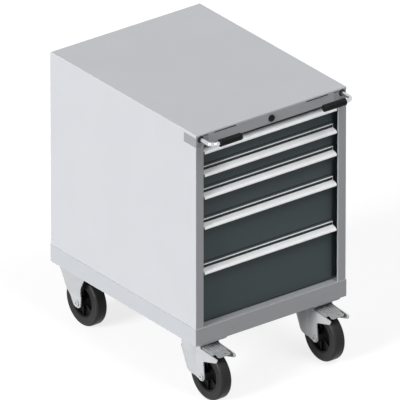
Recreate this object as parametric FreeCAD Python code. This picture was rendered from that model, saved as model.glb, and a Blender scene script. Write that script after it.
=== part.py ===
import FreeCAD, Part
import math
import os

from FreeCAD import Vector

# Rolling tool cabinet. Millimetres, +X to the right, front at -Y, +Z up, floor at z = 0.

# Housing sheet metal
body_width = 564.0
body_depth = 725.0
sheet = 1.5
base_height = 56.0
base_proud = 2.0
base_sheet = 2.0
base_flange = 60.0
ledge_depth = 45.0
top_thickness = 6.0
top_edge_radius = 2.4
return_width = 15.0

# Front frame
post_width = 30.0
post_depth = 40.0
post_edge_radius = 3.0
post_return = 3.5
rail_height = 34.0
rail_depth = 38.0
rail_slot_height = 4.0
rail_slot_length = 83.0
rail_slot_inset = 68.0
cap_width = 47.0
cap_depth = 60.0
cap_side_height = 31.0
cap_sheet = 3.0
cap_edge_radius = 2.5

# Drawers, front heights from top to bottom
front_heights = [75.0, 75.0, 100.0, 150.0, 200.0]
stack_gap = 4.0
front_gap = 3.0
front_side_gap = 5.0
front_recess = 23.0
front_thickness = 12.0
front_sheet = 1.2
front_flange = 14.0
tray_sheet = 1.2
tray_lift = 4.0
tray_headroom = 15.0
tray_rear_space = 69.0
side_space = 49.0

# Telescopic runners
runner_height = 40.0
runner_sheet = 2.0
runner_play = 0.3
runner_lip = 8.0
runner_side_clearance = 1.0
runner_rise = 24.0
runner_start = 46.0
runner_end_space = 10.0
member_web = 3.0
member_flange = 2.5
upright_width = 36.0
upright_sheet = 2.0
upright_front = 40.5
upright_rear_space = 95.0

# Drawer grip profile, measured from the front panel's face and from the drawer's top
grip_sheet = 2.5
grip_skin = 2.4
grip_height = 30.0
grip_reach = 23.0
grip_rib = 3.5
grip_rib_top = 3.5
grip_rib_height = 3.0
grip_groove_bottom = 15.5
grip_nose_radius = 1.6
grip_end_gap = 4.0

# Push handles
bar_radius = 6.5
bar_inset = 17.0
bar_below_top = 10.0
bar_reach = 54.5
bar_bend_radius = 20.0
bar_hole_radius = 9.5
socket_width = 24.0
socket_depth = 58.0
socket_below = 11.0
seat_play = 0.05
grip_start = 46.0
grip_length = 81.0
grip_radius = 11.5
grip_end_wall = 4.0
grip_chamfer = 2.0

# Central lock
lock_face_radius = 11.0
lock_face_thickness = 3.0
lock_core_radius = 7.5
lock_depth = 24.0
running_play = 0.05
key_slot_width = 2.0
key_slot_length = 9.0
key_slot_depth = 4.0
spindle_radius = 4.0
cam_radius = 9.0
cam_offset = 6.4
cam_thickness = 8.0
cam_play = 0.6
bar_sheet = 4.0
bar_width = 24.0
bar_behind_tray = 34.0
window_rim = 3.0
hook_width = 20.0
hook_reach = 28.0
hook_foot = 2.0
hook_thickness = 7.0
hook_finger = 9.0
hook_finger_depth = 6.0
catch_width = 30.0
catch_reach = 20.0
catch_height = 32.0
catch_drop = 12.0
catch_sheet = 2.0
guide_width = 9.0
guide_lip = 2.0
guide_length = 24.0
guide_heights = [90.0, 380.0]
bearing_radius = 9.0
bearing_gap = 3.0

# Wheels, the same on all four castors
wheel_radius = 80.0
wheel_width = 40.0
tyre_inner_radius = 52.0
tyre_shoulder = 6.0
rim_width = 34.0
rim_thickness = 6.0
web_thickness = 9.0
hub_radius = 15.0
axle_radius = 6.0
axle_play = 0.08
axle_head_radius = 10.0
axle_head_height = 4.5
axle_socket_flat = 8.0
axle_socket_depth = 4.0
axle_drop = 117.0

# Castor plates and bolts
plate_width = 110.0
plate_length = 135.0
plate_thickness = 5.0
plate_corner = 8.0
castor_inset_side = 68.0
castor_inset_front = 68.0
rear_axle_inset = 88.0
bolt_spacing_x = 80.0
bolt_spacing_y = 105.0
bolt_head_flat = 16.0
bolt_head_height = 5.0
cross_member_sheet = 4.0
cross_member_rim = 25.0

# Swivel head and pressed fork of the front castors
trail = 53.0
race_radius = 46.0
race_neck_radius = 42.0
race_gap = 0.3
roof_drop = 14.0
roof_sheet = 4.0
kingpin_radius = 8.0
kingpin_head_flat = 26.0
kingpin_head_height = 5.0
fork_half_width = 36.0
fork_sheet = 3.5
fork_side_play = 0.3
crease_ahead = 24.0
crown_radius = 50.0
crown_waist = 47.0
crown_foot_radius = 42.0
crown_foot_drop = 110.0
crown_bottom = 124.0
skirt_slope = 0.3
leg_tip_radius = 14.0
cheek_reach = 78.0
cheek_drop = 26.0
cheek_nose_drop = 31.5
cheek_end_drop = 44.0
cheek_inner_drop = 63.0
fork_roof_ahead = 12.0

# Brake pedal, a tread that straddles the wheel and a raised flap ahead of it
pedal_pin_radius = 4.0
pedal_pin_behind = 4.0
pedal_pin_drop = 31.0
pedal_boss_radius = 5.5
pedal_sheet = 2.5
pedal_half_width = 30.0
pedal_tail = 14.0
pedal_tail_drop = 24.5
pedal_fall = 4.0
pedal_side_drop = 4.5
pedal_rib_height = 1.6
pedal_rib_width = 3.4
pedal_rib_count = 7
flap_start = 46.5
flap_reach = 70.0
flap_rise = 4.2
flap_fall = 5.0
flap_back_half = 21.0
flap_front_half = 24.0
flap_corner = 5.0
pedal_hole_radius = 3.5
pedal_hole_side = 9.0
pedal_hole_ahead = 60.0

# Pressed bracket of the rear castors
bracket_sheet = 3.5
bracket_leg_height = 22.0
bracket_tip_radius = 16.0
bracket_corner_play = 0.1
bracket_waist = 19.0
bracket_waist_rise = 34.0
bracket_front_waist = 28.0
bracket_front_drop = 55.0
bracket_front_margin = 4.0
bracket_heel = 34.0
bracket_heel_rise = 14.0
bracket_shoulder = 50.0
bracket_shoulder_rise = 30.0
bracket_top_margin = 7.0
bracket_top_drop = 30.0

# Levels and planes worked out from the sizes above
front_reach = bar_reach + grip_radius
front_plane = (front_reach - body_depth) / 2
back_plane = front_plane + body_depth
half = body_width / 2
base_half = half + base_proud
z_mount = axle_drop + wheel_radius
z_deck = z_mount + base_height
z_stack = z_deck + stack_gap
z_rail = z_stack + sum(front_heights)
z_cover = z_rail + rail_height
z_top = z_cover + top_thickness
opening_half = half - post_width
tray_half = half - sheet - side_space
tray_front = front_plane + front_recess + front_thickness
tray_back = back_plane - tray_rear_space
member_outer = opening_half - runner_side_clearance
member_inner = tray_half + sheet
upright_inner = member_outer + runner_side_clearance + runner_sheet + runner_side_clearance
runner_front = front_plane + runner_start
runner_back = tray_back - runner_end_space
spindle_z = z_rail + rail_height / 2
bar_z = z_cover - bar_below_top
bar_x = half - bar_inset
lock_bar_front = tray_back + bar_behind_tray
castor_x = half - castor_inset_side
front_pivot_y = front_plane + castor_inset_front
rear_axle_y = back_plane - rear_axle_inset


def box(x0, x1, y0, y1, z0, z1):
    return Part.makeBox(x1 - x0, y1 - y0, z1 - z0, Vector(x0, y0, z0))


def rod(radius, start, end):
    line = end - start
    return Part.makeCylinder(radius, line.Length, start, line)


def outline(corners, place):
    """Closed wire through corners (a, b, radius), rounded with tangent arcs, laid out by place."""
    flat = [Vector(a, b, 0) for a, b, radius in corners]
    pieces = []
    for i, (a, b, radius) in enumerate(corners):
        corner = flat[i]
        if radius == 0:
            pieces.append([corner])
            continue
        back = (flat[i - 1] - corner).normalize()
        ahead = (flat[(i + 1) % len(flat)] - corner).normalize()
        half_angle = back.getAngle(ahead) / 2
        reach = radius / math.tan(half_angle)
        middle = (back + ahead).normalize()
        centre = corner + middle * (radius / math.sin(half_angle))
        pieces.append([corner + back * reach, centre - middle * radius, corner + ahead * reach])
    edges = []
    for i, piece in enumerate(pieces):
        spots = [place(p.x, p.y) for p in piece]
        if len(spots) == 3:
            edges.append(Part.Arc(*spots).toShape())
        following = pieces[(i + 1) % len(pieces)][0]
        target = place(following.x, following.y)
        if (target - spots[-1]).Length > 1e-6:
            edges.append(Part.LineSegment(spots[-1], target).toShape())
    return Part.Wire(edges)


def sharp(points):
    return [(a, b, 0) for a, b in points]


def prism_x(corners, x0, x1):
    """Profile in the YZ plane, pushed along X."""
    face = Part.Face(outline(corners, lambda a, b: Vector(x0, a, b)))
    return face.extrude(Vector(x1 - x0, 0, 0))


def prism_y(corners, y0, y1):
    """Profile in the XZ plane, pushed along Y."""
    face = Part.Face(outline(corners, lambda a, b: Vector(a, y0, b)))
    return face.extrude(Vector(0, y1 - y0, 0))


def prism_z(corners, z0, z1):
    """Profile in the XY plane, pushed along Z."""
    face = Part.Face(outline(corners, lambda a, b: Vector(a, b, z0)))
    return face.extrude(Vector(0, 0, z1 - z0))


def turned_x(corners, y, z):
    """Profile of (x, radius) corners turned about an axis along X."""
    face = Part.Face(outline(corners, lambda a, b: Vector(a, 0, b)))
    solid = face.revolve(Vector(0, 0, 0), Vector(1, 0, 0), 360)
    return solid.translated(Vector(0, y, z))


def mirrored(shape):
    return shape.mirror(Vector(0, 0, 0), Vector(1, 0, 0))


def fused(first, *others):
    return first.fuse(list(others)).removeSplitter()


def upright_edges(shape, x, y):
    """Edges along Z at the given corner."""
    found = []
    for edge in shape.Edges:
        box_ = edge.BoundBox
        if box_.ZLength < 1 or box_.XLength > 0.01 or box_.YLength > 0.01:
            continue
        if abs(box_.XMin - x) < 0.01 and abs(box_.YMin - y) < 0.01:
            found.append(edge)
    return found


def hexagon(flat_width, z0, z1, x, y):
    across = flat_width / math.sqrt(3)
    corners = [(x + across * math.cos(math.radians(60 * k)), y + across * math.sin(math.radians(60 * k)))
               for k in range(6)]
    return prism_z(sharp(corners), z0, z1)


def save(name, *solids):
    shape = solids[0] if len(solids) == 1 else Part.makeCompound(list(solids))
    shape.exportStep("parts/" + name + ".step")


# Base: a folded frame open to the front, with two cross members for the castors
def cross_member(y0, y1):
    wide = base_half - base_sheet
    plate = box(-wide, wide, y0, y1, z_mount, z_mount + cross_member_sheet)
    rims = [box(-wide, wide, y, y + cross_member_sheet, z_mount, z_mount + cross_member_rim)
            for y in (y0, y1 - cross_member_sheet)]
    member = fused(plate, *rims)
    return member


def base_frame():
    shell = box(-base_half, base_half, front_plane - base_proud, back_plane, z_mount, z_deck)
    inner = base_half - base_sheet
    shell = shell.cut(box(-inner, inner, front_plane - base_proud, back_plane - base_sheet,
                          z_mount + base_sheet, z_deck - base_sheet))
    open_half = base_half - base_flange
    for z in (z_mount, z_deck - base_sheet):
        shell = shell.cut(box(-open_half, open_half, front_plane, back_plane - base_flange,
                              z, z + base_sheet))
    shell = shell.cut(box(-inner, inner, front_plane - base_proud, front_plane + ledge_depth,
                          z_mount, z_deck))
    front_member = cross_member(front_plane + base_sheet, front_pivot_y + plate_length / 2)
    rear_member = cross_member(rear_axle_y - plate_length / 2, rear_axle_y + plate_length / 2)
    return fused(shell, front_member, rear_member)


def base_front():
    inner = base_half - base_sheet
    face = front_plane - base_proud
    corners = [(face, z_mount, 0), (face, z_deck, base_sheet),
               (front_plane + ledge_depth, z_deck, 0), (front_plane + ledge_depth, z_deck - base_sheet, 0),
               (face + base_sheet, z_deck - base_sheet, 0), (face + base_sheet, z_mount, 0)]
    return prism_x(corners, -inner, inner)


os.makedirs("parts", exist_ok=True)
save("base_frame", base_frame())
save("base_front", base_front())

floor_half = half - sheet
floor_front = front_plane + ledge_depth
save("floor_sheet", box(-floor_half, floor_half, floor_front, back_plane - sheet, z_deck, z_deck + sheet))


# Housing walls
def side_panel():
    wall = box(half - sheet, half, front_plane, back_plane, z_deck, z_cover)
    top_return = box(half - return_width, half, front_plane + cap_depth, back_plane - sheet,
                     z_cover - sheet, z_cover)
    panel = fused(wall, top_return)
    notch = box(half - sheet - 1, half + 1, front_plane - 1, front_plane + cap_depth,
                z_rail, z_rail + cap_side_height)
    return panel.cut(notch)


def lock_guide(z):
    """Pressed clip on the back panel that holds the lock bar at its two edges."""
    reach = back_plane - sheet
    clip_front = lock_bar_front - runner_play - guide_lip
    side = bar_width / 2 + runner_play
    block = box(-side - guide_lip, side + guide_lip, clip_front, reach, z, z + guide_length)
    block = block.cut(box(-side, side, lock_bar_front - runner_play, reach, z, z + guide_length))
    throat = side - guide_width / 3
    block = block.cut(box(-throat, throat, clip_front, reach, z, z + guide_length))
    return block


def back_panel():
    wall = box(-floor_half, floor_half, back_plane - sheet, back_plane, z_deck, z_cover)
    guides = [lock_guide(z_deck + rise) for rise in guide_heights]
    bearing_start = lock_bar_front + bar_sheet + bearing_gap
    centre = Vector(0, bearing_start, spindle_z)
    end = Vector(0, back_plane - sheet, spindle_z)
    bearing = rod(bearing_radius, centre, end)
    panel = fused(wall, bearing, *guides)
    return panel.cut(rod(spindle_radius + running_play, centre, end))


def top_plate():
    block = box(-half, half, front_plane, back_plane, z_cover, z_top)
    rim = [e for e in block.Edges if abs(e.BoundBox.ZMin - z_top) < 0.01]
    block = block.makeFillet(top_edge_radius, rim)
    hollow = box(-half + sheet, half - sheet, front_plane + sheet, back_plane - sheet,
                 z_cover, z_top - sheet)
    return block.cut(hollow)


right_side = side_panel()
save("side_panel_right", right_side)
save("side_panel_left", mirrored(right_side))
save("back_panel", back_panel())
save("top_plate", top_plate())


# Front frame: posts, lock rail and its end caps
def front_post():
    x0 = opening_half
    x1 = half - sheet
    block = box(x0, x1, front_plane, front_plane + post_depth, z_deck, z_rail)
    block = block.makeFillet(post_edge_radius, upright_edges(block, x0, front_plane))
    hollow = box(x0 + sheet, x1 - sheet, front_plane + sheet, front_plane + post_depth, z_deck, z_rail)
    inner_edge = upright_edges(hollow, x0 + sheet, front_plane + sheet)
    hollow = hollow.makeFillet(post_edge_radius - sheet, inner_edge)
    behind = box(x0, x1 - sheet, front_plane + post_return, front_plane + post_depth, z_deck, z_rail)
    return block.cut(hollow).cut(behind)


def lock_rail():
    end = half - cap_width
    corners = [(front_plane, z_rail, 0), (front_plane, z_cover, 0), (front_plane + rail_depth, z_cover, 0),
               (front_plane + rail_depth, z_cover - sheet, 0), (front_plane + sheet, z_cover - sheet, 0),
               (front_plane + sheet, z_rail + sheet, 0), (front_plane + rail_depth, z_rail + sheet, 0),
               (front_plane + rail_depth, z_rail, 0)]
    rail = prism_x(corners, -end, end)
    slot_end = half - rail_slot_inset
    slot_start = slot_end - rail_slot_length
    for x0, x1 in ((-slot_end, -slot_start), (slot_start, slot_end)):
        rail = rail.cut(box(x0, x1, front_plane, front_plane + rail_depth,
                            z_cover - rail_slot_height, z_cover))
    centre = Vector(0, front_plane - 1, spindle_z)
    return rail.cut(rod(lock_core_radius + running_play, centre, centre + Vector(0, sheet + 2, 0)))


def rail_cap():
    face = box(half - cap_width, half, front_plane, front_plane + cap_sheet, z_rail, z_cover)
    side = box(half - cap_sheet, half, front_plane, front_plane + cap_depth,
               z_rail, z_rail + cap_side_height)
    above = box(half - sheet, half + 1, front_plane - 1, front_plane + cap_depth,
                z_rail + cap_side_height, z_cover + 1)
    post = box(opening_half, half - sheet, front_plane, front_plane + post_depth, z_rail - 1, z_rail)
    cap = fused(face, side).cut(above).cut(post)
    cap = cap.makeFillet(cap_edge_radius, upright_edges(cap, half, front_plane))
    slot = box(half - cap_width, bar_x, front_plane, front_plane + cap_sheet,
               z_cover - rail_slot_height, z_cover)
    cap = cap.cut(slot)
    hole = Vector(bar_x, front_plane - 1, bar_z)
    return cap.cut(rod(bar_hole_radius, hole, hole + Vector(0, cap_sheet + 2, 0)))


right_post = front_post()
save("front_post_right", right_post)
save("front_post_left", mirrored(right_post))
save("lock_rail", lock_rail())
right_cap = rail_cap()
save("rail_caps", right_cap, mirrored(right_cap))


# Push handles: bent bars in sockets under the top
def push_bar():
    back = front_plane + cap_sheet + socket_depth
    corner = Vector(bar_x, front_plane - bar_reach, bar_z)
    bend_start = corner + Vector(0, bar_bend_radius, 0)
    bend_end = corner - Vector(bar_bend_radius, 0, 0)
    tip = Vector(half - grip_start - grip_length + grip_end_wall, corner.y, bar_z)
    turn = bar_bend_radius * (1 - math.sqrt(0.5))
    middle = corner + Vector(-turn, turn, 0)
    path = Part.Wire([Part.LineSegment(Vector(bar_x, back, bar_z), bend_start).toShape(),
                      Part.Arc(bend_start, middle, bend_end).toShape(),
                      Part.LineSegment(bend_end, tip).toShape()])
    ring = Part.Wire([Part.Circle(Vector(bar_x, back, bar_z), Vector(0, 1, 0), bar_radius).toShape()])
    return path.makePipeShell([ring], True, True)


def push_grip():
    x1 = half - grip_start
    x0 = x1 - grip_length
    y = front_plane - bar_reach
    corners = [(x0, 0), (x0, grip_radius - grip_chamfer), (x0 + grip_chamfer, grip_radius),
               (x1, grip_radius), (x1, 0)]
    body = turned_x(sharp(corners), y, bar_z)
    bore = rod(bar_radius + seat_play, Vector(x0 + grip_end_wall, y, bar_z), Vector(x1 + 1, y, bar_z))
    return body.cut(bore)


def bar_socket():
    x0 = bar_x - socket_width / 2
    start = front_plane + cap_sheet
    block = box(x0, x0 + socket_width, start, start + socket_depth, bar_z - socket_below, z_cover - sheet)
    hole = Vector(bar_x, start - 1, bar_z)
    return block.cut(rod(bar_radius + seat_play, hole, hole + Vector(0, socket_depth + 2, 0)))


right_bar = push_bar()
save("push_handle_right", right_bar)
save("push_handle_left", mirrored(right_bar))
right_grip = push_grip()
save("push_grips", right_grip, mirrored(right_grip))
right_socket = bar_socket()
save("handle_sockets", right_socket, mirrored(right_socket))


# Runners
def runner_levels():
    """Bottom of each drawer front, from top to bottom."""
    levels = []
    z = z_rail
    for height in front_heights:
        z -= height
        levels.append(z)
    return levels


def fixed_runner(z):
    low = z + tray_lift + runner_rise - runner_height / 2
    outer = upright_inner
    lip = outer - runner_sheet - runner_lip
    channel = box(lip, outer, runner_front, runner_back, low, low + runner_height)
    return channel.cut(box(lip, outer - runner_sheet, runner_front, runner_back,
                           low + runner_sheet, low + runner_height - runner_sheet))


def middle_member(z):
    centre = z + tray_lift + runner_rise
    reach = runner_height / 2 - runner_sheet - runner_play
    web = (member_inner + member_outer) / 2
    beam = box(member_inner, member_outer, runner_front, runner_back, centre - reach, centre + reach)
    for x0, x1 in ((member_inner, web - member_web / 2), (web + member_web / 2, member_outer)):
        beam = beam.cut(box(x0, x1, runner_front, runner_back,
                            centre - reach + member_flange, centre + reach - member_flange))
    return beam


def upright(y0):
    outer = half - sheet
    inner = upright_inner
    top = z_rail - stack_gap
    channel = box(inner, outer, y0, y0 + upright_width, z_deck + sheet, top)
    return channel.cut(box(inner + upright_sheet, outer, y0 + upright_sheet,
                           y0 + upright_width - upright_sheet, z_deck + sheet, top))


right_uprights = [upright(front_plane + upright_front),
                  upright(back_plane - upright_rear_space - upright_width)]
save("runner_uprights", *right_uprights, *[mirrored(u) for u in right_uprights])
right_runners = [fixed_runner(z) for z in runner_levels()]
save("fixed_runners", *right_runners, *[mirrored(r) for r in right_runners])
for number, level in enumerate(runner_levels(), 1):
    member = middle_member(level)
    save("runner_members_" + str(number), member, mirrored(member))


# Drawers
def tray(z, height):
    low = z + tray_lift
    high = low + height - tray_headroom
    body = box(-tray_half, tray_half, tray_front, tray_back, low, high)
    hollow = box(-tray_half + tray_sheet, tray_half - tray_sheet, tray_front + tray_sheet,
                 tray_back - tray_sheet, low + tray_sheet, high)
    body = body.cut(hollow)
    lips = []
    centre = low + runner_rise
    for level in (centre - runner_height / 2, centre + runner_height / 2 - runner_sheet):
        lip = box(tray_half, tray_half + runner_lip, tray_front, tray_back, level, level + runner_sheet)
        lips += [lip, mirrored(lip)]
    catch = box(-catch_width / 2, catch_width / 2, tray_back, tray_back + catch_reach,
                low + catch_height - catch_sheet, low + catch_height)
    drop = box(-catch_width / 2, catch_width / 2, tray_back + catch_reach - catch_sheet,
               tray_back + catch_reach, low + catch_height - catch_drop, low + catch_height)
    return fused(body, *lips, catch, drop)


def drawer_front(z, height):
    wide = opening_half - front_side_gap
    face = front_plane + front_recess
    low = z + front_gap / 2
    high = z + height - front_gap / 2
    pan = box(-wide, wide, face, tray_front, low, high)
    pan = pan.cut(box(-wide + front_sheet, wide - front_sheet, face + front_sheet, tray_front - front_sheet,
                      low + front_sheet, high - front_sheet))
    return pan.cut(box(-wide + front_flange, wide - front_flange, tray_front - front_sheet, tray_front,
                       low + front_flange, high - front_flange))


def grip_profile(z, height):
    """Extruded grip: rib and label groove above, curved canopy with a rounded nose below."""
    face = front_plane + front_recess
    top = z + height - front_gap / 2

    def spot(ahead, below):
        return Vector(-grip_half, face - ahead, top - below)

    grip_half = opening_half - grip_end_gap
    rise = grip_height - grip_groove_bottom
    nose_mid = spot(grip_reach, grip_height - grip_nose_radius - 1.5)
    shoulder = spot(grip_reach - grip_nose_radius, grip_groove_bottom + rise * 0.72)
    nose_bottom = spot(grip_reach - 2 * grip_nose_radius, grip_height)
    canopy_mid = spot(grip_reach * 0.62, grip_groove_bottom + rise * 0.26)
    canopy = Part.Arc(spot(grip_sheet, grip_groove_bottom), canopy_mid, shoulder).toShape()
    nose = Part.Arc(shoulder, nose_mid, nose_bottom).toShape()
    inner_end = spot(grip_sheet, grip_groove_bottom + grip_skin)
    inner_start = spot(grip_reach - 2 * grip_nose_radius - grip_skin / 2, grip_height - grip_skin)
    under = Part.Arc(inner_start, spot(grip_reach * 0.58, grip_groove_bottom + rise * 0.26 + grip_skin),
                     inner_end).toShape()
    rib_bottom = grip_rib_top + grip_rib_height
    points = [inner_end, spot(grip_sheet, grip_height), spot(0, grip_height), spot(0, grip_rib_top),
              spot(grip_rib, grip_rib_top), spot(grip_rib, rib_bottom), spot(grip_sheet, rib_bottom),
              spot(grip_sheet, grip_groove_bottom)]
    lines = [Part.LineSegment(a, b).toShape() for a, b in zip(points, points[1:])]
    link = Part.LineSegment(nose_bottom, inner_start).toShape()
    wire = Part.Wire([canopy, nose, link, under] + lines)
    return Part.Face(wire).extrude(Vector(2 * grip_half, 0, 0))


for number, (level, height) in enumerate(zip(runner_levels(), front_heights), 1):
    save("drawer_tray_" + str(number), tray(level, height))
    save("drawer_front_" + str(number), drawer_front(level, height))
    save("drawer_grip_" + str(number), grip_profile(level, height))


# Central lock
def lock_housing():
    """Black ring on the rail's face around the lock core."""
    face = Vector(0, front_plane - lock_face_thickness, spindle_z)
    plane = Vector(0, front_plane, spindle_z)
    return rod(lock_face_radius, face, plane).cut(rod(lock_core_radius + running_play, face, plane))


def cam_offset_point(y):
    """The cam starts below and beside the spindle, so a quarter turn lifts it evenly."""
    step = cam_offset * math.sqrt(0.5)
    return Vector(step, y, spindle_z - step)


def lock_core():
    face_y = front_plane - lock_face_thickness
    start = Vector(0, face_y, spindle_z)
    core = rod(lock_core_radius, start, Vector(0, front_plane + lock_depth, spindle_z))
    spindle = rod(spindle_radius, start, Vector(0, back_plane - sheet - bearing_gap, spindle_z))
    cam_y = lock_bar_front + bar_sheet / 2 - cam_thickness / 2
    cam = rod(cam_radius, cam_offset_point(cam_y), cam_offset_point(cam_y + cam_thickness))
    slot = box(-key_slot_width / 2, key_slot_width / 2, face_y, face_y + key_slot_depth,
               spindle_z - key_slot_length / 2, spindle_z + key_slot_length / 2)
    return fused(core, spindle, cam).cut(slot)


def lock_bar():
    step = cam_offset * math.sqrt(0.5)
    low = runner_levels()[-1] + tray_lift + hook_foot
    y0 = lock_bar_front
    y1 = y0 + bar_sheet
    window_low = spindle_z - step - cam_radius - cam_play
    window_high = spindle_z - step + cam_radius + cam_play
    window_left = -cam_radius
    window_right = cam_offset + cam_radius + cam_play
    head = box(window_left - window_rim, window_right + window_rim, y0, y1,
               window_low - window_rim, window_high + window_rim)
    shaft = box(-bar_width / 2, bar_width / 2, y0, y1, low, window_low)
    hooks = []
    for level in runner_levels():
        foot = level + tray_lift + hook_foot
        arm = box(-hook_width / 2, hook_width / 2, y0 - hook_reach, y0, foot, foot + hook_thickness)
        finger = box(-hook_width / 2, hook_width / 2, y0 - hook_reach, y0 - hook_reach + hook_finger_depth,
                     foot, foot + hook_thickness + hook_finger)
        hooks += [arm, finger]
    return fused(shaft, head, *hooks).cut(box(window_left, window_right, y0, y1, window_low, window_high))


save("lock_housing", lock_housing())
save("lock_core", lock_core())
save("lock_bar", lock_bar())


# Castor pieces are built about the pivot or the plate's centre, with z = 0 at the base's underside
def at_castor(shape, x, y):
    return shape.translated(Vector(x, y, z_mount))


def castor_plate():
    wide = plate_width / 2
    long = plate_length / 2
    cut = plate_corner
    corner = [(wide - cut, -long), (wide, cut - long), (wide, long - cut), (wide - cut, long)]
    outline_points = corner + [(-x, y) for x, y in reversed(corner)]
    return prism_z(sharp(outline_points), -plate_thickness, 0)


def swivel_plate():
    race_top = -plate_thickness
    race_low = race_gap - roof_drop
    race = Part.makeCone(race_neck_radius, race_radius, race_top - race_low, Vector(0, 0, race_low))
    pin_end = -roof_drop - roof_sheet - race_gap
    shank = rod(kingpin_radius, Vector(0, 0, pin_end), Vector(0, 0, race_top))
    head = hexagon(kingpin_head_flat, pin_end - kingpin_head_height, pin_end, 0, 0)
    return fused(castor_plate(), race, shank, head)


def crown(skin, top):
    """Round back of the fork: upright down to the waist, then leaning in towards the legs."""
    centre = math.sqrt(crown_radius ** 2 - fork_half_width ** 2) - crease_ahead
    foot = math.sqrt(crown_foot_radius ** 2 - fork_half_width ** 2) - crease_ahead
    waist = Vector(0, centre, -crown_waist)
    upper = rod(crown_radius - skin, waist, Vector(0, centre, -top))
    lean = Vector(0, foot, -crown_foot_drop) - waist
    taper = crown_radius - crown_foot_radius
    spare = 0.3
    cone = Part.makeCone(crown_radius - skin + taper * spare, crown_foot_radius - skin - taper * spare,
                         lean.Length * (1 + 2 * spare), waist - lean * spare, lean)
    wide = crown_radius * 2
    lower = cone.common(box(-wide, wide, -wide, wide, -crown_bottom, -crown_waist))
    return upper.fuse(lower)


def swivel_fork():
    outer_x = fork_half_width
    inner_x = fork_half_width - fork_sheet
    crease_y = -crease_ahead
    bottom = -crown_bottom
    tip = leg_tip_radius
    axle_y = -trail
    axle_z = -axle_drop
    roof_front = axle_y + fork_roof_ahead
    nose_y = axle_y - cheek_reach
    lowest = axle_z - tip
    heel_y = crease_y + (lowest - bottom) / skirt_slope
    corners = [(axle_y - tip, lowest, tip - 0.1), (heel_y, lowest, tip),
               (crease_y + fork_sheet, bottom + fork_sheet * skirt_slope, 0),
               (crease_y + fork_sheet, -roof_drop, 0), (roof_front, -roof_drop, 3),
               (roof_front - fork_roof_ahead / 2, -cheek_drop, 5), (nose_y, -cheek_nose_drop, 4),
               (nose_y + 6, -cheek_end_drop, 4), (axle_y - 8, -cheek_inner_drop, 8)]
    cheeks = prism_x(corners, -outer_x, outer_x)
    cheeks = cheeks.cut(box(-inner_x, inner_x, nose_y - 1, roof_front - 3, lowest - 1, 0))
    cheeks = cheeks.cut(box(-inner_x, inner_x, roof_front - 4, crease_y + fork_sheet + 1,
                            lowest - 1, -roof_drop - roof_sheet))
    shell = crown(0, roof_drop).cut(crown(fork_sheet, roof_drop + roof_sheet))
    wide = crown_radius * 2
    skirt_end = bottom + (wide - crease_y) * skirt_slope
    skirt = [(crease_y, bottom), (crease_y, -roof_drop), (wide, -roof_drop), (wide, skirt_end)]
    shell = shell.common(prism_x(sharp(skirt), -wide, wide))
    shell = shell.cut(box(-inner_x, inner_x, crease_y, crease_y + fork_sheet,
                          bottom, -roof_drop - roof_sheet))
    fork = fused(cheeks, shell)
    roof_under = Vector(0, 0, -roof_drop - roof_sheet - 1)
    kingpin_hole = rod(kingpin_radius + axle_play, roof_under, Vector(0, 0, 0))
    axle_hole = rod(axle_radius + seat_play, Vector(-wide, axle_y, axle_z), Vector(wide, axle_y, axle_z))
    return fork.cut(kingpin_hole).cut(axle_hole)


def axle(y, half_grip):
    """Screw axle through both legs, with a round head and a hexagon socket at each end."""
    end = half_grip + axle_head_height
    shank = rod(axle_radius, Vector(-half_grip, y, -axle_drop), Vector(half_grip, y, -axle_drop))
    whole = shank
    for side in (-1, 1):
        seat = Vector(side * half_grip, y, -axle_drop)
        whole = fused(whole, rod(axle_head_radius, seat, Vector(side * end, y, -axle_drop)))
    across = axle_socket_flat / math.sqrt(3)
    turns = [math.radians(60 * k) for k in range(6)]
    corners = [(y + across * math.cos(turn), across * math.sin(turn) - axle_drop) for turn in turns]
    for side in (-1, 1):
        whole = whole.cut(prism_x(sharp(corners), side * (end - axle_socket_depth), side * (end + 1)))
    return whole


def tyre(y):
    side = wheel_width / 2
    tread = side - tyre_shoulder
    corners = [(-side, tyre_inner_radius), (-side, wheel_radius - tyre_shoulder), (-tread, wheel_radius),
               (tread, wheel_radius), (side, wheel_radius - tyre_shoulder), (side, tyre_inner_radius)]
    return turned_x(sharp(corners), y, -axle_drop)


def hub(y):
    """Dished wheel centre: rim, web and a boss that fills the space between the legs."""
    reach = fork_half_width - fork_sheet - fork_side_play
    bore = axle_radius + axle_play
    profile = [(rim_width / 2, tyre_inner_radius), (web_thickness / 2, tyre_inner_radius - rim_thickness),
               (web_thickness / 2, hub_radius), (reach, hub_radius), (reach, bore)]
    return turned_x(sharp(profile + [(-x, r) for x, r in reversed(profile)]), y, -axle_drop)


def sheet_strip(points, thickness):
    lower = [(y, z - thickness) for y, z in reversed(points)]
    return sharp(points + lower)


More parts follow.
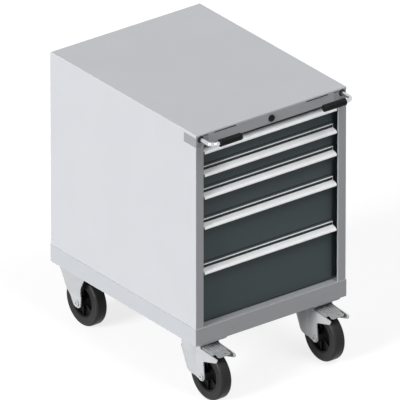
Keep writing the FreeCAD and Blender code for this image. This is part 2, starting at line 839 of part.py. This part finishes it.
def brake_pedal():
    """Pressed pedal: ribbed tread between two side flanges, pin bosses and a raised flap."""
    axle_y = -trail
    tail_y = axle_y + pedal_tail
    fold_y = axle_y - flap_start
    front_y = axle_y - flap_reach
    tail_z = -pedal_tail_drop
    fold_z = tail_z - pedal_fall
    wide = pedal_half_width
    pitch = 2 * wide / pedal_rib_count
    ridge = [(-wide, tail_z)]
    for k in range(pedal_rib_count):
        middle = -wide + pitch * (k + 0.5)
        for step, rise in ((-pedal_rib_width / 2, 0), (0, pedal_rib_height), (pedal_rib_width / 2, 0)):
            ridge.append((middle + step, tail_z + rise))
    ridge.append((wide, tail_z))
    section = outline(sheet_strip(ridge, pedal_sheet), lambda a, b: Vector(a, tail_y, b))
    tread = Part.Face(section).extrude(Vector(0, fold_y - tail_y, -pedal_fall))
    flap_z = fold_z + flap_rise
    step_y = fold_y + pedal_sheet
    side = [(step_y, fold_z), (step_y, flap_z), (fold_y, flap_z), (front_y, flap_z - flap_fall),
            (front_y, flap_z - flap_fall - pedal_sheet), (fold_y, flap_z - pedal_sheet),
            (fold_y, fold_z - pedal_sheet), (step_y, fold_z - pedal_sheet)]
    right = [(flap_back_half, step_y), (flap_back_half, fold_y), (flap_front_half, front_y + flap_corner),
             (flap_front_half - flap_corner, front_y)]
    plan = sharp(right + [(-x, y) for x, y in reversed(right)])
    flap = prism_x(sharp(side), -wide, wide).common(prism_z(plan, -axle_drop, 0))
    flange_top = [(tail_y, tail_z - 1), (fold_y, fold_z - 1)]
    flange = prism_x(sheet_strip(flange_top, pedal_side_drop), wide - pedal_sheet, wide)
    pin_y = axle_y + pedal_pin_behind
    boss = rod(pedal_boss_radius, Vector(wide - pedal_sheet, pin_y, -pedal_pin_drop),
               Vector(wide, pin_y, -pedal_pin_drop))
    reach = fork_half_width - fork_sheet - fork_side_play
    pin = rod(pedal_pin_radius, Vector(-reach, pin_y, -pedal_pin_drop),
              Vector(reach, pin_y, -pedal_pin_drop))
    pedal = fused(tread, flap, flange, mirrored(flange), boss, mirrored(boss), pin)
    hole = Vector(pedal_hole_side, axle_y - pedal_hole_ahead, -axle_drop)
    return pedal.cut(rod(pedal_hole_radius, hole, hole + Vector(0, 0, axle_drop)))


def rear_bracket():
    top = -plate_thickness
    leg = -axle_drop + bracket_leg_height
    tip = bracket_tip_radius
    low = -axle_drop - tip
    outer_x = fork_half_width
    inner_x = fork_half_width - bracket_sheet
    flare = plate_width / 2
    inner_top = top - bracket_sheet
    inner_flare = inner_x + (flare - outer_x) * (inner_top - leg) / (top - leg)
    section = [(-outer_x, low), (-outer_x, leg), (-flare, top), (flare, top), (outer_x, leg), (outer_x, low),
               (inner_x, low), (inner_x, leg), (inner_flare, inner_top), (-inner_flare, inner_top),
               (-inner_x, leg), (-inner_x, low)]
    long = plate_length / 2
    arch = prism_y(sharp(section), -long, long)
    round_tip = tip - bracket_corner_play
    side = [(-tip, low, round_tip), (tip, low, round_tip), (bracket_heel, bracket_heel_rise - axle_drop, 8),
            (bracket_shoulder, bracket_shoulder_rise - axle_drop, 10),
            (long - bracket_top_margin, -bracket_top_drop, 20), (long, top, 0),
            (bracket_front_margin - long, top, 0), (-bracket_front_waist, -bracket_front_drop, 30),
            (-bracket_waist, bracket_waist_rise - axle_drop, 20)]
    legs = arch.common(prism_x(side, -flare, flare))
    bracket = fused(legs, castor_plate())
    wide = outer_x + 1
    axle_hole = rod(axle_radius + seat_play, Vector(-wide, 0, -axle_drop), Vector(wide, 0, -axle_drop))
    return bracket.cut(axle_hole)


def bolt_set(seat):
    """Hexagon heads of the four plate bolts, seated from below."""
    spots = [(sx * bolt_spacing_x / 2, sy * bolt_spacing_y / 2) for sx in (-1, 1) for sy in (-1, 1)]
    return [hexagon(bolt_head_flat, seat - bolt_head_height, seat, x, y) for x, y in spots]


swivel = swivel_plate()
fork_shape = swivel_fork()
front_axle = axle(-trail, fork_half_width)
pedal_shape = brake_pedal()
front_tyre = tyre(-trail)
front_hub = hub(-trail)
rear_bracket_shape = rear_bracket()
rear_axle = axle(0, fork_half_width)
rear_tyre = tyre(0)
rear_hub = hub(0)

save("castor_plates", *[at_castor(swivel, x, front_pivot_y) for x in (-castor_x, castor_x)])
save("rear_axles", *[at_castor(rear_axle, x, rear_axle_y) for x in (-castor_x, castor_x)])
bolts = []
for side_x in (-castor_x, castor_x):
    bolts += [at_castor(bolt, side_x, front_pivot_y) for bolt in bolt_set(-plate_thickness)]
    bolts += [at_castor(bolt, side_x, rear_axle_y) for bolt in bolt_set(-plate_thickness - bracket_sheet)]
save("castor_bolts", *bolts)
for side_name, side_x in (("left", -castor_x), ("right", castor_x)):
    save("castor_fork_" + side_name, at_castor(fork_shape, side_x, front_pivot_y))
    save("castor_axle_" + side_name, at_castor(front_axle, side_x, front_pivot_y))
    save("brake_pedal_" + side_name, at_castor(pedal_shape, side_x, front_pivot_y))
    save("front_tyre_" + side_name, at_castor(front_tyre, side_x, front_pivot_y))
    save("front_hub_" + side_name, at_castor(front_hub, side_x, front_pivot_y))
    save("rear_bracket_" + side_name, at_castor(rear_bracket_shape, side_x, rear_axle_y))
    save("rear_tyre_" + side_name, at_castor(rear_tyre, side_x, rear_axle_y))
    save("rear_hub_" + side_name, at_castor(rear_hub, side_x, rear_axle_y))
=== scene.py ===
import bpy
import math
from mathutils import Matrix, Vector


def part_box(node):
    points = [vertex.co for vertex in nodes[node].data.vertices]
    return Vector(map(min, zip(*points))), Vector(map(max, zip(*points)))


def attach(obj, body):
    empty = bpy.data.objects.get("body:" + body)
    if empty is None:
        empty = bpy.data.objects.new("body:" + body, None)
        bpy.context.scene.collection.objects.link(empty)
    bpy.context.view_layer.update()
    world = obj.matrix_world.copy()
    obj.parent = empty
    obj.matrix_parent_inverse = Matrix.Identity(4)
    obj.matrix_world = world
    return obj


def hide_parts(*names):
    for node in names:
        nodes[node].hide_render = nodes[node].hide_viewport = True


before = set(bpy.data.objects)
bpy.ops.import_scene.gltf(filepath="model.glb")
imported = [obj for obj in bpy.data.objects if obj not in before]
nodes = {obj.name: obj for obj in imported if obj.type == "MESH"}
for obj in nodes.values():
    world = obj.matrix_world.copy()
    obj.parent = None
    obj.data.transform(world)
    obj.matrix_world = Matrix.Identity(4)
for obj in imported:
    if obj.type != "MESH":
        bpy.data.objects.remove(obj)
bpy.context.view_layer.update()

millimetre = 0.001
touching = 0.01 * millimetre    # points nearer than this are one point


# small helpers
def linear(hexColour):
    values = []
    for start in (1, 3, 5):
        share = int(hexColour[start:start + 2], 16) / 255
        values.append(share / 12.92 if share <= 0.04045 else ((share + 0.055) / 1.055) ** 2.4)
    return (*values, 1.0)


def addNode(tree, kind, settings=None, links=None):
    node = tree.nodes.new(kind)
    for key, value in (settings or {}).items():
        if isinstance(key, int) or key in node.inputs:
            node.inputs[key].default_value = value
        else:
            setattr(node, key, value)
    for key, source in (links or {}).items():
        tree.links.new(source, node.inputs[key])
    return node


def newMaterial(name):
    material = bpy.data.materials.new(name)
    material.use_nodes = True
    material.node_tree.nodes.clear()
    return material, material.node_tree


def dress(material, *names):
    for name in names:
        mesh = nodes[name].data
        mesh.materials.clear()
        mesh.materials.append(material)


# camera, fitted to the photograph's parallel-looking view
cameraSet = {"turn": -37.16, "height": 26.17, "lens": 1500, "width": 1.2032,
             "target": (0.0047, 0.0290, 0.4599), "sees": 500}
sensorWidth = 36    # millimetres, Blender's own value
print("camera")
turn = math.radians(cameraSet["turn"])
height = math.radians(cameraSet["height"])
back = Vector((math.sin(turn) * math.cos(height), -math.cos(turn) * math.cos(height), math.sin(height)))
distance = cameraSet["width"] * cameraSet["lens"] / sensorWidth
bpy.ops.object.camera_add(location=Vector(cameraSet["target"]) + back * distance)
camera = bpy.context.object
camera.rotation_mode = "QUATERNION"
camera.rotation_quaternion = (-back).to_track_quat("-Z", "Y")
camera.data.lens = cameraSet["lens"]
camera.data.clip_end = cameraSet["sees"]
bpy.context.scene.camera = camera

# light and floor
lightSet = {"side": {"strength": 3.8, "from": (-3.5, -0.3, 1.35), "angle": 24},
            "front": {"strength": 1.1, "from": (0.12, -0.55, 0.83), "angle": 30},
            "ambient": 0.25, "floorGrey": "#959595", "floorGlow": 0.78, "floorSize": 120}
print("lights and floor")
for lamp in ("side", "front"):
    bpy.ops.object.light_add(type="SUN", location=lightSet[lamp]["from"])
    sun = bpy.context.object
    sun.name = lamp + "Sun"
    sun.data.energy = lightSet[lamp]["strength"]
    sun.data.angle = math.radians(lightSet[lamp]["angle"])
    sun.rotation_mode = "QUATERNION"
    sun.rotation_quaternion = Vector(lightSet[lamp]["from"]).to_track_quat("Z", "Y")


def seenShare(tree):    # 1 where the camera, a mirror or glass looks, and 0 for the light on the object
    rays = addNode(tree, "ShaderNodeLightPath")
    share = rays.outputs["Is Camera Ray"]
    for kind in ("Is Glossy Ray", "Is Transmission Ray"):
        either = addNode(tree, "ShaderNodeMath", {"operation": "MAXIMUM"}, {0: share, 1: rays.outputs[kind]})
        share = either.outputs[0]
    return share


white = (1, 1, 1, 1)
world = bpy.data.worlds.new("paleStudio")
bpy.context.scene.world = world
world.use_nodes = True
tree = world.node_tree
tree.nodes.clear()
level = addNode(tree, "ShaderNodeMapRange", {"To Min": lightSet["ambient"], "To Max": 1.0},
                {"Value": seenShare(tree)})
sky = addNode(tree, "ShaderNodeBackground", {"Color": white}, {"Strength": level.outputs[0]})
addNode(tree, "ShaderNodeOutputWorld", None, {"Surface": sky.outputs[0]})

bpy.ops.mesh.primitive_plane_add(size=lightSet["floorSize"], location=(0, 0, 0))
floor = bpy.context.object
floor.name = "studioFloor"
floorPaper, tree = newMaterial("palePaperFloor")
glow = addNode(tree, "ShaderNodeMath", {"operation": "MULTIPLY", 1: lightSet["floorGlow"]},
               {0: seenShare(tree)})
paper = addNode(tree, "ShaderNodeBsdfDiffuse", {"Color": linear(lightSet["floorGrey"])})
shine = addNode(tree, "ShaderNodeEmission", {"Color": white}, {"Strength": glow.outputs[0]})
both = addNode(tree, "ShaderNodeAddShader", None, {0: paper.outputs[0], 1: shine.outputs[0]})
addNode(tree, "ShaderNodeOutputMaterial", None, {"Surface": both.outputs[0]})
floor.data.materials.append(floorPaper)


# what all finishes share: the colour wanders between two shades, and fine relief moves roughness and bump
def fillSkin(tree, hexColour, values, cloud, fine, settings):
    base = linear(hexColour)[:3]
    dark, light = [(*[min(1.0, share * shade) for share in base], 1) for shade in values["shades"]]
    tint = addNode(tree, "ShaderNodeMix", {"data_type": "RGBA", 6: dark, 7: light},
                   {"Factor": cloud.outputs["Fac"]})
    rough = addNode(tree, "ShaderNodeMapRange", {"To Min": values["rough"][0], "To Max": values["rough"][1]},
                    {"Value": fine.outputs["Fac"]})
    bump = addNode(tree, "ShaderNodeBump",
                   {"Strength": values["bump"], "Distance": values["relief"] * millimetre},
                   {"Height": fine.outputs["Fac"]})
    shader = addNode(tree, "ShaderNodeBsdfPrincipled", settings,
                     {"Base Color": tint.outputs[2], "Roughness": rough.outputs[0],
                      "Normal": bump.outputs["Normal"]})
    addNode(tree, "ShaderNodeOutputMaterial", None, {"Surface": shader.outputs[0]})


# powder coat on sheet steel: baked polyester with a fine orange peel, so it shines softly, never mirrors
coatSet = {"cloud": 140, "peel": 1.2, "shades": (0.97, 1.03), "rough": (0.42, 0.55), "bump": 0.35,
           "relief": 0.05}


def powderCoat(name, hexColour, shine):
    material, tree = newMaterial(name)
    place = addNode(tree, "ShaderNodeTexCoord").outputs["Object"]
    cloud = addNode(tree, "ShaderNodeTexNoise",
                    {"Scale": 1 / (coatSet["cloud"] * millimetre), "Detail": 2.0}, {"Vector": place})
    peel = addNode(tree, "ShaderNodeTexNoise",
                   {"Scale": 1 / (coatSet["peel"] * millimetre), "Detail": 3.0}, {"Vector": place})
    fillSkin(tree, hexColour, coatSet, cloud, peel,
             {"IOR": 1.5, "Metallic": 0.0, "Specular IOR Level": shine})
    return material


# a metal skin: clouding of the plating or the anodic film, and fine lines along the drawing direction
metalSet = {"cloud": 30, "lines": 1.0, "shades": (0.92, 1.05), "bump": 0.2}


def metal(name, hexColour, metallic, rough, streak, relief):
    material, tree = newMaterial(name)
    place = addNode(tree, "ShaderNodeTexCoord").outputs["Object"]
    cloud = addNode(tree, "ShaderNodeTexNoise",
                    {"Scale": 1 / (metalSet["cloud"] * millimetre), "Detail": 3.0}, {"Vector": place})
    stretch = addNode(tree, "ShaderNodeMapping", {"Scale": streak}, {"Vector": place})
    fine = addNode(tree, "ShaderNodeTexNoise",
                   {"Scale": 1 / (metalSet["lines"] * millimetre), "Detail": 3.0},
                   {"Vector": stretch.outputs[0]})
    fillSkin(tree, hexColour, {**metalSet, "rough": rough, "relief": relief}, cloud, fine,
             {"Metallic": metallic})
    return material


# moulded polymer: one dark colour, a fine spark-eroded grain and a dull sheen
mouldSet = {"shades": (0.85, 1.15), "spread": 0.06, "bump": 0.3, "shine": 0.14}


def moulded(name, hexColour, roughness, grain, relief):
    material, tree = newMaterial(name)
    place = addNode(tree, "ShaderNodeTexCoord").outputs["Object"]
    fine = addNode(tree, "ShaderNodeTexNoise", {"Scale": 1 / (grain * millimetre), "Detail": 4.0},
                   {"Vector": place})
    rough = (roughness - mouldSet["spread"], roughness + mouldSet["spread"])
    fillSkin(tree, hexColour, {**mouldSet, "rough": rough, "relief": relief}, fine, fine,
             {"IOR": 1.5, "Metallic": 0.0, "Specular IOR Level": mouldSet["shine"]})
    return material


print("finishes")
everyWay = (1, 1, 1)    # no drawing direction
# light grey powder coat: the pale, nearly neutral housing
housingCoat = powderCoat("lightGreyPowderCoat", "#BABCC0", 0.4)
# stone grey powder coat: the base frame, a shade darker than the panels above it
baseCoat = powderCoat("stoneGreyPowderCoat", "#B1B4B8", 0.4)
# the front frame in the housing's light grey powder coat, painted a step darker as painted shade for the
# front faces that the side lamp barely reaches
frameCoatPaintedShade = powderCoat("housingGreyPaintedShadeCoat", "#A2A4A7", 0.4)
# dusty grey powder coat: the pressed corner caps, darker on their sides than the panels around them
capCoat = powderCoat("dustyGreyPowderCoat", "#8D8F92", 0.4)
# slate grey powder coat: drawers, dark with a green-blue cast and little shine; the uprights wear it as
# painted shade for the dark cavity behind the right post
drawerCoat = powderCoat("slateGreyPowderCoat", "#434D4F", 0.2)
# satin anodised aluminium: bright extruded grips, soft highlights drawn out along their length
gripMetal = metal("satinAnodisedAluminium", "#F6F7F8", 0.05, (0.30, 0.38), (0.02, 1, 1), 0.01)
# zinc plated steel: pressed castor parts, pale grey, clouded and half dull
zinc = metal("zincPlatedSteel", "#B4B6B8", 0.1, (0.42, 0.55), everyWay, 0.02)
# zinc plated tread steel: the pedals, painted greyer than the forks as painted shade for the shadow under the
# frame edge
shadedPedalZinc = metal("pedalZincWithPaintedShade", "#A0A2A4", 0.25, (0.36, 0.50), everyWay, 0.02)
# chrome plated steel tube: a near mirror
chrome = metal("chromePlatedTube", "#CDD0D2", 1.0, (0.05, 0.09), everyWay, 0.005)
# black polyamide: hubs, push grips and lock, hard with a faint gloss
blackPlastic = moulded("blackPolyamide", "#0D0D0E", 0.45, 0.8, 0.05)
# solid rubber: tyres and grommets, matt black
blackRubber = moulded("solidBlackRubber", "#2A2A2B", 0.40, 1.0, 0.04)
# dark card behind the clear cover of the label holders
labelCard = moulded("slateLabelStrip", "#2B3335", 0.35, 1.0, 0.02)

dress(baseCoat, "base_frame")
dress(housingCoat, "floor_sheet", "side_panel_left", "side_panel_right", "back_panel", "top_plate")
# painted shade: the runner uprights take the dark slate coat so the cavity behind the right post reads dark
dress(drawerCoat, "runner_uprights")
# painted shade: the front frame and base front take the darker copy of the housing coat
dress(frameCoatPaintedShade, "base_front", "front_post_left", "front_post_right", "lock_rail")
dress(capCoat, "rail_caps")
dress(zinc, "fixed_runners", "handle_sockets", "castor_plates", "rear_axles", "castor_bolts", "lock_bar")
dress(blackPlastic, "push_grips", "lock_core", "lock_housing")
drawerNumbers = range(1, 6)
for number in drawerNumbers:
    dress(drawerCoat, "drawer_tray_%d" % number, "drawer_front_%d" % number)
    dress(gripMetal, "drawer_grip_%d" % number)
    dress(zinc, "runner_members_%d" % number)
for side in ("left", "right"):
    dress(zinc, "rear_bracket_" + side, "castor_fork_" + side, "castor_axle_" + side)
    # painted shade: the pedals take the darker zinc
    dress(shadedPedalZinc, "brake_pedal_" + side)
    dress(chrome, "push_handle_" + side)
    dress(blackPlastic, "front_hub_" + side, "rear_hub_" + side)
    dress(blackRubber, "front_tyre_" + side, "rear_tyre_" + side)


# turned pieces: a profile of (along, radius) corners is drawn point by point, then spun about its axis
def drawProfile(name, corners, start, along, out, closed):
    bpy.ops.object.select_all(action="DESELECT")
    bpy.ops.mesh.primitive_plane_add(size=millimetre)
    piece = bpy.context.object
    piece.name = name
    bpy.ops.object.mode_set(mode="EDIT")
    bpy.ops.mesh.select_mode(type="VERT")
    bpy.ops.mesh.merge(type="CENTER")
    bpy.ops.transform.translate(value=Vector(start) + along * corners[0][0] + out * corners[0][1])
    following = corners[1:] + corners[:1] if closed else corners[1:]
    for (x0, r0), (x1, r1) in zip(corners, following):
        bpy.ops.mesh.extrude_region_move(
            TRANSFORM_OT_translate={"value": along * (x1 - x0) + out * (r1 - r0)})
    bpy.ops.mesh.select_all(action="SELECT")
    bpy.ops.mesh.remove_doubles(threshold=touching)
    return piece


def turnPiece(name, corners, centre, steps, axis=(1, 0, 0), closed=True):
    piece = drawProfile(name, corners, centre, Vector(axis) * millimetre, Vector((0, 0, millimetre)), closed)
    bpy.ops.mesh.spin(steps=steps, angle=2 * math.pi, center=centre, axis=axis)
    bpy.ops.mesh.select_all(action="SELECT")
    bpy.ops.mesh.remove_doubles(threshold=touching)
    bpy.ops.mesh.normals_make_consistent(inside=False)
    bpy.ops.object.mode_set(mode="OBJECT")
    return piece


def bothSides(half):    # the half profile, then its mirror image back to the start
    return half + [(-x, radius) for x, radius in reversed(half)]


# bevels the two rings of edges that lie at this distance from the middle and at this radius
def roundRing(piece, centre, ring, offset, segments):
    bpy.ops.object.mode_set(mode="EDIT")
    bpy.ops.mesh.select_mode(type="EDGE")
    bpy.ops.mesh.select_all(action="DESELECT")
    bpy.ops.object.mode_set(mode="OBJECT")
    x, radius = [value * millimetre for value in ring]
    places = [v.co - Vector(centre) for v in piece.data.vertices]
    onRing = [abs(abs(p.x) - x) < touching and abs(math.hypot(p.y, p.z) - radius) < touching
              for p in places]
    for edge in piece.data.edges:
        first, second = edge.vertices
        edge.select = onRing[first] and onRing[second] and abs(places[first].x - places[second].x) < touching
    bpy.ops.object.mode_set(mode="EDIT")
    bpy.ops.mesh.bevel(offset=offset * millimetre, segments=segments, affect="EDGES")
    bpy.ops.object.mode_set(mode="OBJECT")


def smooth(piece, degrees):
    bpy.ops.object.select_all(action="DESELECT")
    piece.select_set(True)
    bpy.context.view_layer.objects.active = piece
    bpy.ops.object.shade_smooth_by_angle(angle=math.radians(degrees))


def softenEdges(piece, width):
    bevel = piece.modifiers.new("softEdge", "BEVEL")
    bevel.width = width * millimetre
    bevel.segments = 2
    bpy.context.view_layer.objects.active = piece
    bpy.ops.object.modifier_apply(modifier="softEdge")


def joinPieces(pieces):    # all of them become part of the first one
    bpy.ops.object.select_all(action="DESELECT")
    for piece in pieces:
        piece.select_set(True)
    bpy.context.view_layer.objects.active = pieces[0]
    bpy.ops.object.join()
    return pieces[0]


def finishPiece(piece, material, slot, body, *replaced):
    piece.data.materials.clear()
    piece.data.materials.append(material)
    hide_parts(*replaced)
    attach(piece, body)


# solid tyres: a rounded tread, and two moulded beads on a side wall that steps in towards the hub
tyreSet = {"side": 20, "outer": 80, "inner": 52, "shoulder": 8, "shoulderSteps": 7, "wallTop": 70,
           "sink": 18.9, "seat": 18.2, "beads": (64.6, 56.2), "beadHigh": 1.1, "beadWide": 1.5,
           "beadFoot": 1, "steps": 96, "smooth": 35}
# the same round ridge for every bead: (share of its height, share of its half width)
beadForm = [(0, 1), (0.8, 0.6), (1, 0), (0.8, -0.6), (0, -1)]


def buildTyre(name, centre):
    t = tyreSet
    half = [(t["side"], t["outer"]), (t["side"], t["wallTop"]),
            (t["sink"], t["beads"][0] + t["beadWide"] + t["beadFoot"])]
    for bead, wall in zip(t["beads"], (t["sink"], t["seat"])):
        half += [(wall + t["beadHigh"] * up, bead + t["beadWide"] * out) for up, out in beadForm]
    half.append((t["seat"], t["inner"]))
    tyre = turnPiece(name, bothSides(half), centre, t["steps"])
    roundRing(tyre, centre, (t["side"], t["outer"]), t["shoulder"], t["shoulderSteps"])
    smooth(tyre, t["smooth"])
    return tyre


# hubs: a dished rim on a thin web, a flared boss and six ribs
hubSet = {"rim": 17, "web": 4.5, "seat": 52, "rimInner": 47, "flare": 21, "boss": 15, "reach": 32.2,
          "bore": 6.08, "rimRound": 0.9, "bossRound": 1.2, "webRound": 1.5, "roundSteps": 2,
          "ribs": 6, "ribWide": 3.5, "ribReach": 13, "ribShort": 1, "ribEdge": 0.8, "steps": 96, "smooth": 35}


def buildHub(name, centre):
    h = hubSet
    half = [(h["rim"], h["seat"]), (h["rim"], h["rimInner"]), (h["web"], h["rimInner"]),
            (h["web"], h["flare"]), (h["rim"], h["boss"]), (h["reach"], h["boss"]), (h["reach"], h["bore"])]
    hub = turnPiece(name, bothSides(half), centre, h["steps"])
    roundRing(hub, centre, (h["rim"], h["rimInner"]), h["rimRound"], h["roundSteps"])
    roundRing(hub, centre, (h["reach"], h["boss"]), h["bossRound"], h["roundSteps"])
    roundRing(hub, centre, (h["web"], h["rimInner"]), h["webRound"], h["roundSteps"])
    smooth(hub, h["smooth"])
    parts = [hub]
    middle = ((h["rimInner"] + h["flare"]) / 2 - h["ribShort"]) * millimetre
    ribSize = Vector((2 * h["ribReach"], h["rimInner"] - h["boss"] - h["ribShort"], h["ribWide"]))
    for number in range(h["ribs"]):
        spoke = 2 * math.pi * (number + 0.5) / h["ribs"]
        place = (centre[0], centre[1] + math.cos(spoke) * middle, centre[2] + math.sin(spoke) * middle)
        bpy.ops.mesh.primitive_cube_add(size=1, location=place, rotation=(spoke, 0, 0))
        rib = bpy.context.object
        rib.scale = ribSize * millimetre
        bpy.ops.object.transform_apply(location=True, rotation=True, scale=True)
        softenEdges(rib, h["ribEdge"])
        parts.append(rib)
    return joinPieces(parts)


print("wheels")
for side in ("left", "right"):
    for end in ("front", "rear"):
        low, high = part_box("%s_tyre_%s" % (end, side))
        centre = tuple((low + high) / 2)
        wheelBody = "%s_wheel_%s" % (end, side)
        tyre = buildTyre("%sSolidTyre%s" % (end, side.title()), centre)
        finishPiece(tyre, blackRubber, "black_rubber", wheelBody, "%s_tyre_%s" % (end, side))
        hub = buildHub("%sRibbedHub%s" % (end, side.title()), centre)
        finishPiece(hub, blackPlastic, "black_plastic", wheelBody, "%s_hub_%s" % (end, side))

# push grips: closed sleeves with grooves moulded round them, pushed onto the bars
sleeveSet = {"length": 81, "radius": 11.5, "tip": 2.2, "tipShare": 0.3, "wall": 4, "bore": 6.6, "chamfer": 1,
             "first": 7, "rings": 15, "pitch": 4.8, "groove": 2.0, "depth": 1.1, "grooveSlope": 0.3,
             "steps": 48, "smooth": 40}
print("push grips")


def sleeveProfile(sign):
    v = sleeveSet
    radius, tip, length = v["radius"], v["tip"], v["length"]
    low = radius - v["depth"]
    corners = [(0, 0), (0, radius - tip), (tip * v["tipShare"], radius - tip * v["tipShare"]), (tip, radius)]
    for ring in range(v["rings"]):
        start = v["first"] + v["pitch"] * ring
        slope = v["groove"] * v["grooveSlope"]
        corners += [(start, radius), (start + slope, low), (start + v["groove"] - slope, low),
                    (start + v["groove"], radius)]
    corners += [(length - v["chamfer"], radius), (length, radius - v["chamfer"]), (length, v["bore"]),
                (v["wall"], v["bore"]), (v["wall"], 0)]
    return [(sign * along, out) for along, out in corners]


low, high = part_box("push_grips")
middle = (low + high) / 2
reach = (high.x - low.x) / 2 - sleeveSet["length"] * millimetre
sleeves = []
for sign in (1, -1):
    sleeve = turnPiece("ribbedSleeve", sleeveProfile(sign), (sign * reach, middle.y, middle.z),
                       sleeveSet["steps"], closed=False)
    smooth(sleeve, sleeveSet["smooth"])
    sleeves.append(sleeve)
finishPiece(joinPieces(sleeves), blackPlastic, "black_plastic", "cabinet", "push_grips")

# rubber grommets where the bars leave the corner caps
grommetSet = {"inner": 6.6, "neck": 9.3, "lip": 11.2, "proud": 1.4, "depth": 3.0, "chamfer": 0.8,
              "steps": 48, "smooth": 35}
print("grommets")
g = grommetSet
grommetProfile = [(-g["proud"], g["inner"]), (-g["proud"], g["lip"] - g["chamfer"]),
                  (g["chamfer"] - g["proud"], g["lip"]), (0, g["lip"]), (0, g["neck"]),
                  (g["depth"], g["neck"]), (g["depth"], g["inner"])]
for side in ("left", "right"):
    low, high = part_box("push_handle_" + side)
    radius = (high.z - low.z) / 2
    across = high.x - radius if side == "right" else low.x + radius
    place = (across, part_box("lock_rail")[0].y, (low.z + high.z) / 2)
    grommet = turnPiece("barGrommet" + side.title(), grommetProfile, place, g["steps"], axis=(0, 1, 0))
    smooth(grommet, g["smooth"])
    finishPiece(grommet, blackRubber, "black_rubber", "cabinet")

# drawer grips: aluminium extrusions with a rib on top, a label groove, and a canopy that rounds to a lip
# heights are measured down from a line that lies "over" above the grip, and depths forward from the sheet
gripSet = {"over": 3.5, "ribTop": 5.7, "ribDeep": 3.6, "ribBottom": 7.9, "ribEdge": 0.6, "sheet": 2.5,
           "sheetEdge": 0.4, "groove": 17.0, "skin": 2.2, "along": 24.6, "down": 11.0, "from": 35,
           "arcSteps": 10, "lip": 1.8, "lipForm": ((0.3, 0.9), (1.1, 0.2), (1.9, 0.3)), "smooth": 30}
print("drawer grips")


def gripProfile(reach, bottom):
    g = gripSet
    sheet, sheetEdge, ribEdge = g["sheet"], g["sheetEdge"], g["ribEdge"]
    middle, low = reach - g["along"], bottom - g["lip"]
    outer = []
    inner = []
    for step in range(g["arcSteps"] + 1):
        swing = math.radians(g["from"] + (90 - g["from"]) * step / g["arcSteps"])
        for arc, skin in ((outer, 0), (inner, g["skin"])):
            arc.append((middle + (g["along"] - skin) * math.sin(swing),
                        low - (g["down"] - skin) * math.cos(swing)))
    lip = [(reach - behind, bottom - up) for behind, up in g["lipForm"]]
    plate = [(sheet, g["groove"] + g["skin"]), (sheet, bottom - sheetEdge), (sheet - sheetEdge, bottom),
             (0, bottom), (0, g["ribTop"]), (g["ribDeep"] - ribEdge, g["ribTop"]),
             (g["ribDeep"], g["ribTop"] + ribEdge), (g["ribDeep"], g["ribBottom"] - ribEdge),
             (g["ribDeep"] - ribEdge, g["ribBottom"]), (sheet, g["ribBottom"]), (sheet, g["groove"])]
    return outer + lip + inner[::-1] + plate


for number in drawerNumbers:
    low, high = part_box("drawer_grip_%d" % number)
    reach = (high.y - low.y) / millimetre
    top = high.z + gripSet["over"] * millimetre
    profile = [(ahead, -below) for ahead, below in gripProfile(reach, (top - low.z) / millimetre)]
    grip = drawProfile("drawerGrip%d" % number, profile, (low.x, high.y, top), Vector((0, -millimetre, 0)),
                       Vector((0, 0, millimetre)), True)
    bpy.ops.mesh.edge_face_add()
    bpy.ops.mesh.extrude_region_move(TRANSFORM_OT_translate={"value": (high.x - low.x, 0, 0)})
    bpy.ops.mesh.select_all(action="SELECT")
    bpy.ops.mesh.normals_make_consistent(inside=False)
    bpy.ops.object.mode_set(mode="OBJECT")
    smooth(grip, gripSet["smooth"])
    finishPiece(grip, gripMetal, "anodised_aluminium", "drawer_%d" % number, "drawer_grip_%d" % number)

# label strips: dark cards under a clear cover, clipped into the groove of each drawer grip
labelSet = {"top": 4.7, "height": 8.2, "ends": 2.0, "thick": 0.9, "rim": 0.9, "sink": 0.35, "edge": 0.2}
frontward = -0.9    # a face whose normal goes further towards -y than this is a front
print("label strips")
v = labelSet
for number in drawerNumbers:
    low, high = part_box("drawer_grip_%d" % number)
    groove = high.y - gripSet["sheet"] * millimetre
    size = Vector((0, v["thick"], v["height"])) * millimetre
    size.x = high.x - low.x - 2 * v["ends"] * millimetre
    place = ((low.x + high.x) / 2, groove - size.y / 2, high.z - (v["top"] + v["height"] / 2) * millimetre)
    bpy.ops.object.select_all(action="DESELECT")
    bpy.ops.mesh.primitive_cube_add(size=1, location=place)
    strip = bpy.context.object
    strip.name = "labelStrip%d" % number
    strip.scale = size
    bpy.ops.object.transform_apply(location=True, rotation=True, scale=True)
    for face in strip.data.polygons:
        face.select = face.normal.y < frontward
    bpy.ops.object.mode_set(mode="EDIT")
    bpy.ops.mesh.select_mode(type="FACE")
    bpy.ops.mesh.inset(thickness=v["rim"] * millimetre, depth=0)
    bpy.ops.transform.translate(value=(0, v["sink"] * millimetre, 0))
    bpy.ops.object.mode_set(mode="OBJECT")
    softenEdges(strip, v["edge"])
    finishPiece(strip, labelCard, "black_plastic", "drawer_%d" % number)

bpy.context.scene.view_settings.view_transform = "Standard"
